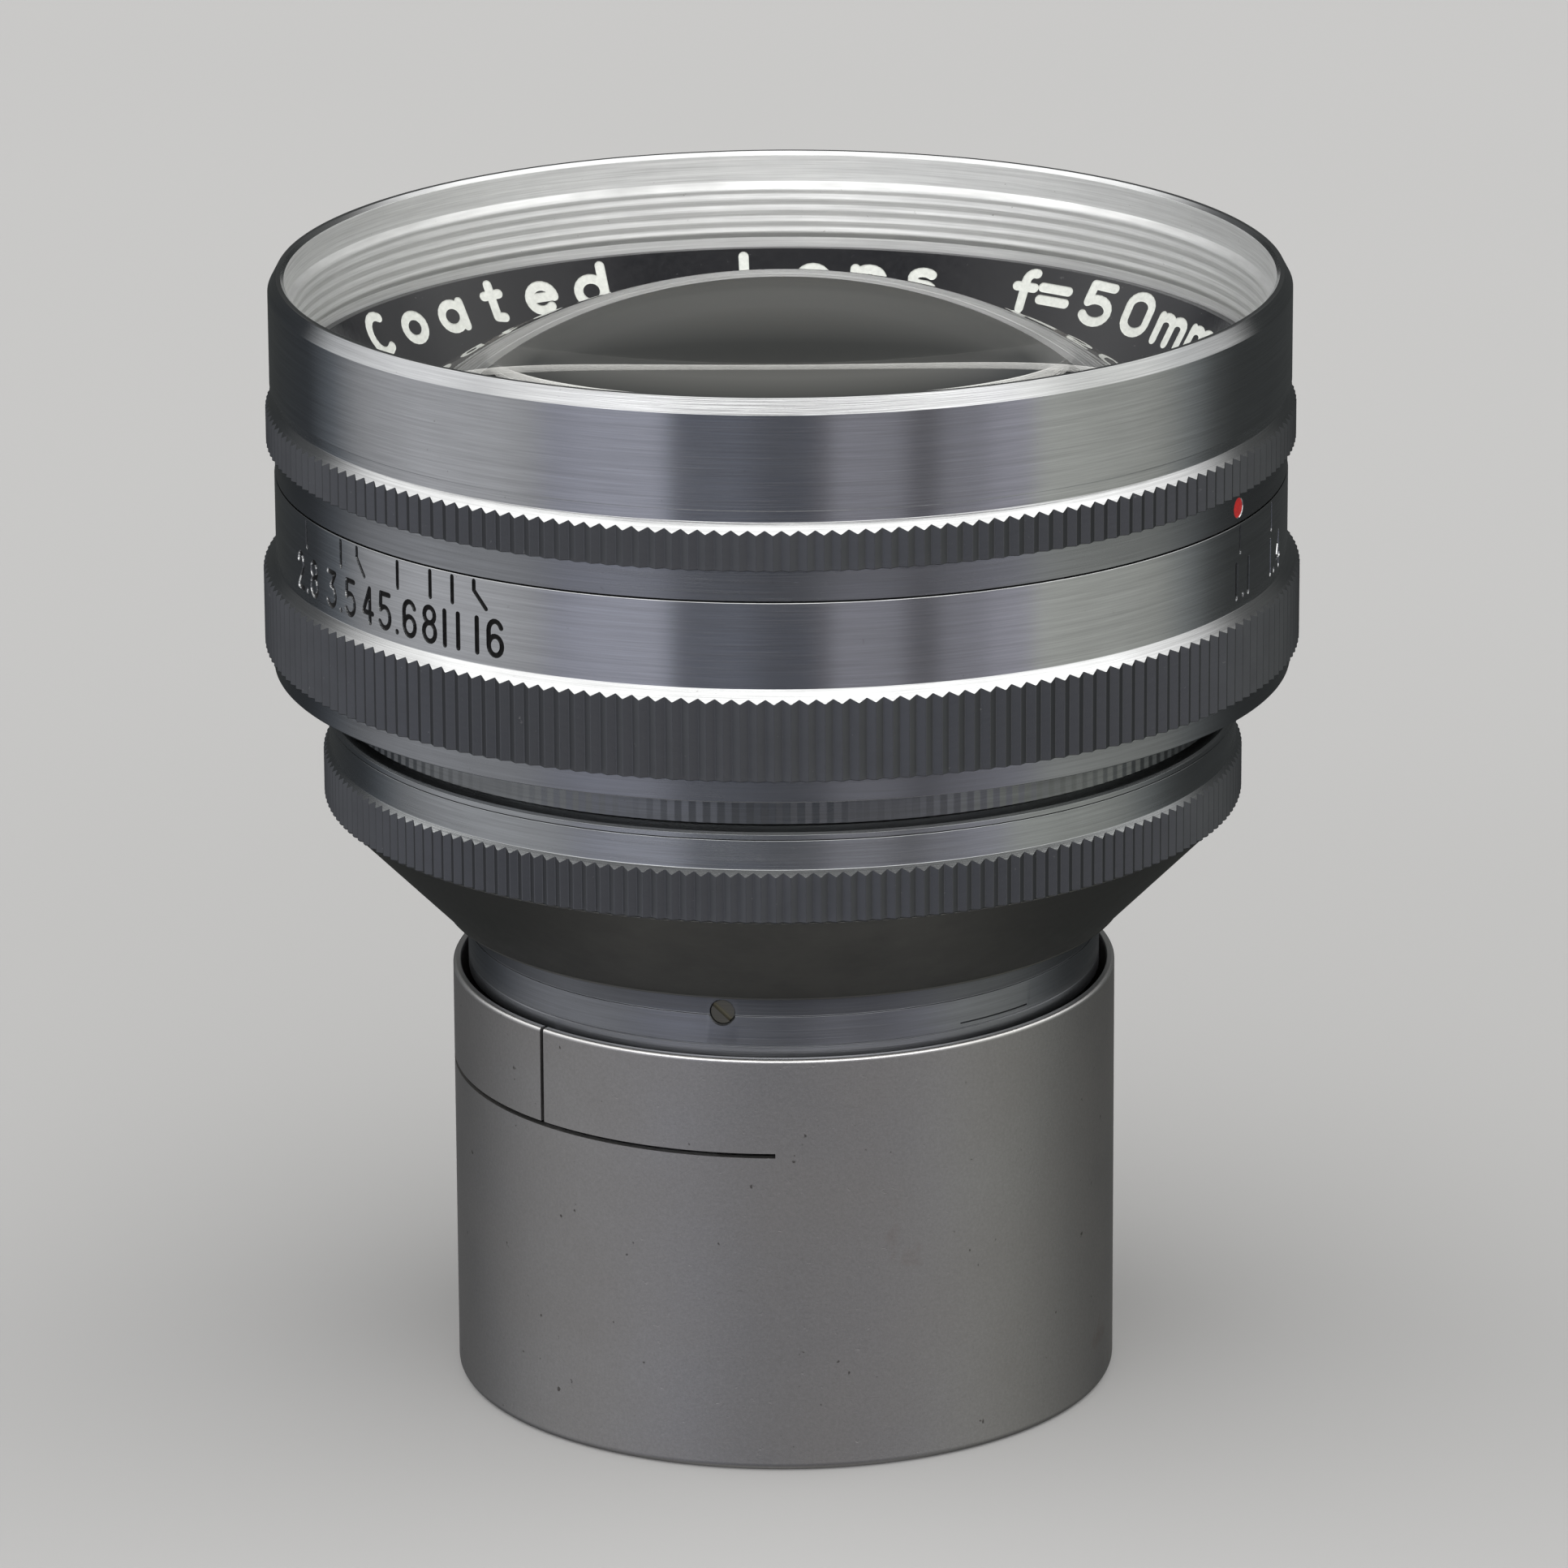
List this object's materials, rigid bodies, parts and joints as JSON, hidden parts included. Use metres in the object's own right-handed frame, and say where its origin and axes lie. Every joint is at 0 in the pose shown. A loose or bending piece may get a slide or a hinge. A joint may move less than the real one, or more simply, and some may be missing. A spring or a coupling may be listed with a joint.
{
  "type": "photographic lens",
  "caption": "Fast satin-chrome camera lens with a knurled aperture ring, working iris and domed front glass, standing on its push-fit metal rear cap.",
  "frame": {"origin": "centre of the rear cap's flat base, on the optical axis", "axes": "+Z along the optical axis, out of the front glass; -Y towards the side with the seven small-aperture numbers at its left and a red index dot at its right; +X to that side's right"},
  "size_m": [0.0658, 0.0658, 0.0728],
  "materials": {
    "chrome": "satin, fine turning lines",
    "chrome_dark": "satin, dark",
    "cap_satin": "bead blasted satin",
    "black_metal": "matt black anodised",
    "black_gloss": "gloss black with white filled letters",
    "blade_steel": "blued, matt",
    "screw_steel": "plain",
    "shim_brass": "plain",
    "red_paint": "filled dimple",
    "coated_glass": "polished, single coated"
  },
  "bodies": {
    "cap": {"rear_cap": "cap_satin"},
    "lens": {"bayonet_ring": "chrome", "bayonet_collar": "chrome", "collar_screws": "screw_steel", "mount_cone": "chrome_dark", "rear_barrel": "black_metal", "mount_shim": "shim_brass", "rear_knurled_ring": "chrome", "lip_ring": "chrome", "neck_ring": "chrome_dark", "main_barrel": "black_metal", "index_ring": "chrome", "index_dots": "red_paint", "front_rim": "chrome", "name_ring": "black_gloss", "front_cell": "black_metal", "rear_cell": "black_metal", "rear_cell_ring": "black_metal", "rear_lock_ring": "chrome", "front_spacer": "black_metal", "rear_spacer_1": "black_metal", "rear_spacer_2": "black_metal", "rear_spacer_3": "black_metal", "iris_base_ring": "black_metal", "iris_baffle": "black_metal", "scroll_retainer": "black_metal", "glass_1_front_dome": "coated_glass", "glass_2_front_positive": "coated_glass", "glass_3_front_negative": "coated_glass", "glass_4_rear_negative": "coated_glass", "glass_5_rear_positive": "coated_glass", "glass_6_relay_positive": "coated_glass", "glass_7_rear_doublet_front": "coated_glass", "glass_8_rear_doublet_back": "coated_glass", "glass_9_rear_positive": "coated_glass"},
    "aperture": {"aperture_ring": "chrome", "drive_screw": "screw_steel", "scroll_ring": "black_metal"},
    "blade_01": {"iris_blade_01": "blade_steel"},
    "blade_02": {"iris_blade_02": "blade_steel"},
    "blade_03": {"iris_blade_03": "blade_steel"},
    "blade_04": {"iris_blade_04": "blade_steel"},
    "blade_05": {"iris_blade_05": "blade_steel"},
    "blade_06": {"iris_blade_06": "blade_steel"},
    "blade_07": {"iris_blade_07": "blade_steel"},
    "blade_08": {"iris_blade_08": "blade_steel"},
    "blade_09": {"iris_blade_09": "blade_steel"},
    "blade_10": {"iris_blade_10": "blade_steel"}
  },
  "joints": [
    {"name": "cap_pull", "type": "slide", "parent": "cap", "child": "lens", "axis": [0, 0, 1], "range_m": [0, 0.03]},
    {"name": "aperture_turn", "type": "hinge", "parent": "lens", "child": "aperture", "pos_m": [0, 0, 0.05], "axis": [0, 0, 1], "range_deg": [-82, 0]},
    {"name": "blade_01_turn", "type": "hinge", "parent": "lens", "child": "blade_01", "pos_m": [0.0235, 0, 0.0491], "axis": [0, 0, 1], "range_deg": [0, 32.5]},
    {"name": "blade_02_turn", "type": "hinge", "parent": "lens", "child": "blade_02", "pos_m": [0.01901, 0.01381, 0.0491], "axis": [0, 0, 1], "range_deg": [0, 32.5]},
    {"name": "blade_03_turn", "type": "hinge", "parent": "lens", "child": "blade_03", "pos_m": [0.00726, 0.02235, 0.0491], "axis": [0, 0, 1], "range_deg": [0, 32.5]},
    {"name": "blade_04_turn", "type": "hinge", "parent": "lens", "child": "blade_04", "pos_m": [-0.00726, 0.02235, 0.0491], "axis": [0, 0, 1], "range_deg": [0, 32.5]},
    {"name": "blade_05_turn", "type": "hinge", "parent": "lens", "child": "blade_05", "pos_m": [-0.01901, 0.01381, 0.0491], "axis": [0, 0, 1], "range_deg": [0, 32.5]},
    {"name": "blade_06_turn", "type": "hinge", "parent": "lens", "child": "blade_06", "pos_m": [-0.0235, 0, 0.0491], "axis": [0, 0, 1], "range_deg": [0, 32.5]},
    {"name": "blade_07_turn", "type": "hinge", "parent": "lens", "child": "blade_07", "pos_m": [-0.01901, -0.01381, 0.0491], "axis": [0, 0, 1], "range_deg": [0, 32.5]},
    {"name": "blade_08_turn", "type": "hinge", "parent": "lens", "child": "blade_08", "pos_m": [-0.00726, -0.02235, 0.0491], "axis": [0, 0, 1], "range_deg": [0, 32.5]},
    {"name": "blade_09_turn", "type": "hinge", "parent": "lens", "child": "blade_09", "pos_m": [0.00726, -0.02235, 0.0491], "axis": [0, 0, 1], "range_deg": [0, 32.5]},
    {"name": "blade_10_turn", "type": "hinge", "parent": "lens", "child": "blade_10", "pos_m": [0.01901, -0.01381, 0.0491], "axis": [0, 0, 1], "range_deg": [0, 32.5]}
  ],
  "couplings": [
    {"joint": "blade_01_turn", "follows": "aperture_turn", "ratio": -0.39512},
    {"joint": "blade_02_turn", "follows": "aperture_turn", "ratio": -0.39512},
    {"joint": "blade_03_turn", "follows": "aperture_turn", "ratio": -0.39512},
    {"joint": "blade_04_turn", "follows": "aperture_turn", "ratio": -0.39512},
    {"joint": "blade_05_turn", "follows": "aperture_turn", "ratio": -0.39512},
    {"joint": "blade_06_turn", "follows": "aperture_turn", "ratio": -0.39512},
    {"joint": "blade_07_turn", "follows": "aperture_turn", "ratio": -0.39512},
    {"joint": "blade_08_turn", "follows": "aperture_turn", "ratio": -0.39512},
    {"joint": "blade_09_turn", "follows": "aperture_turn", "ratio": -0.39512},
    {"joint": "blade_10_turn", "follows": "aperture_turn", "ratio": -0.39512}
  ]
}
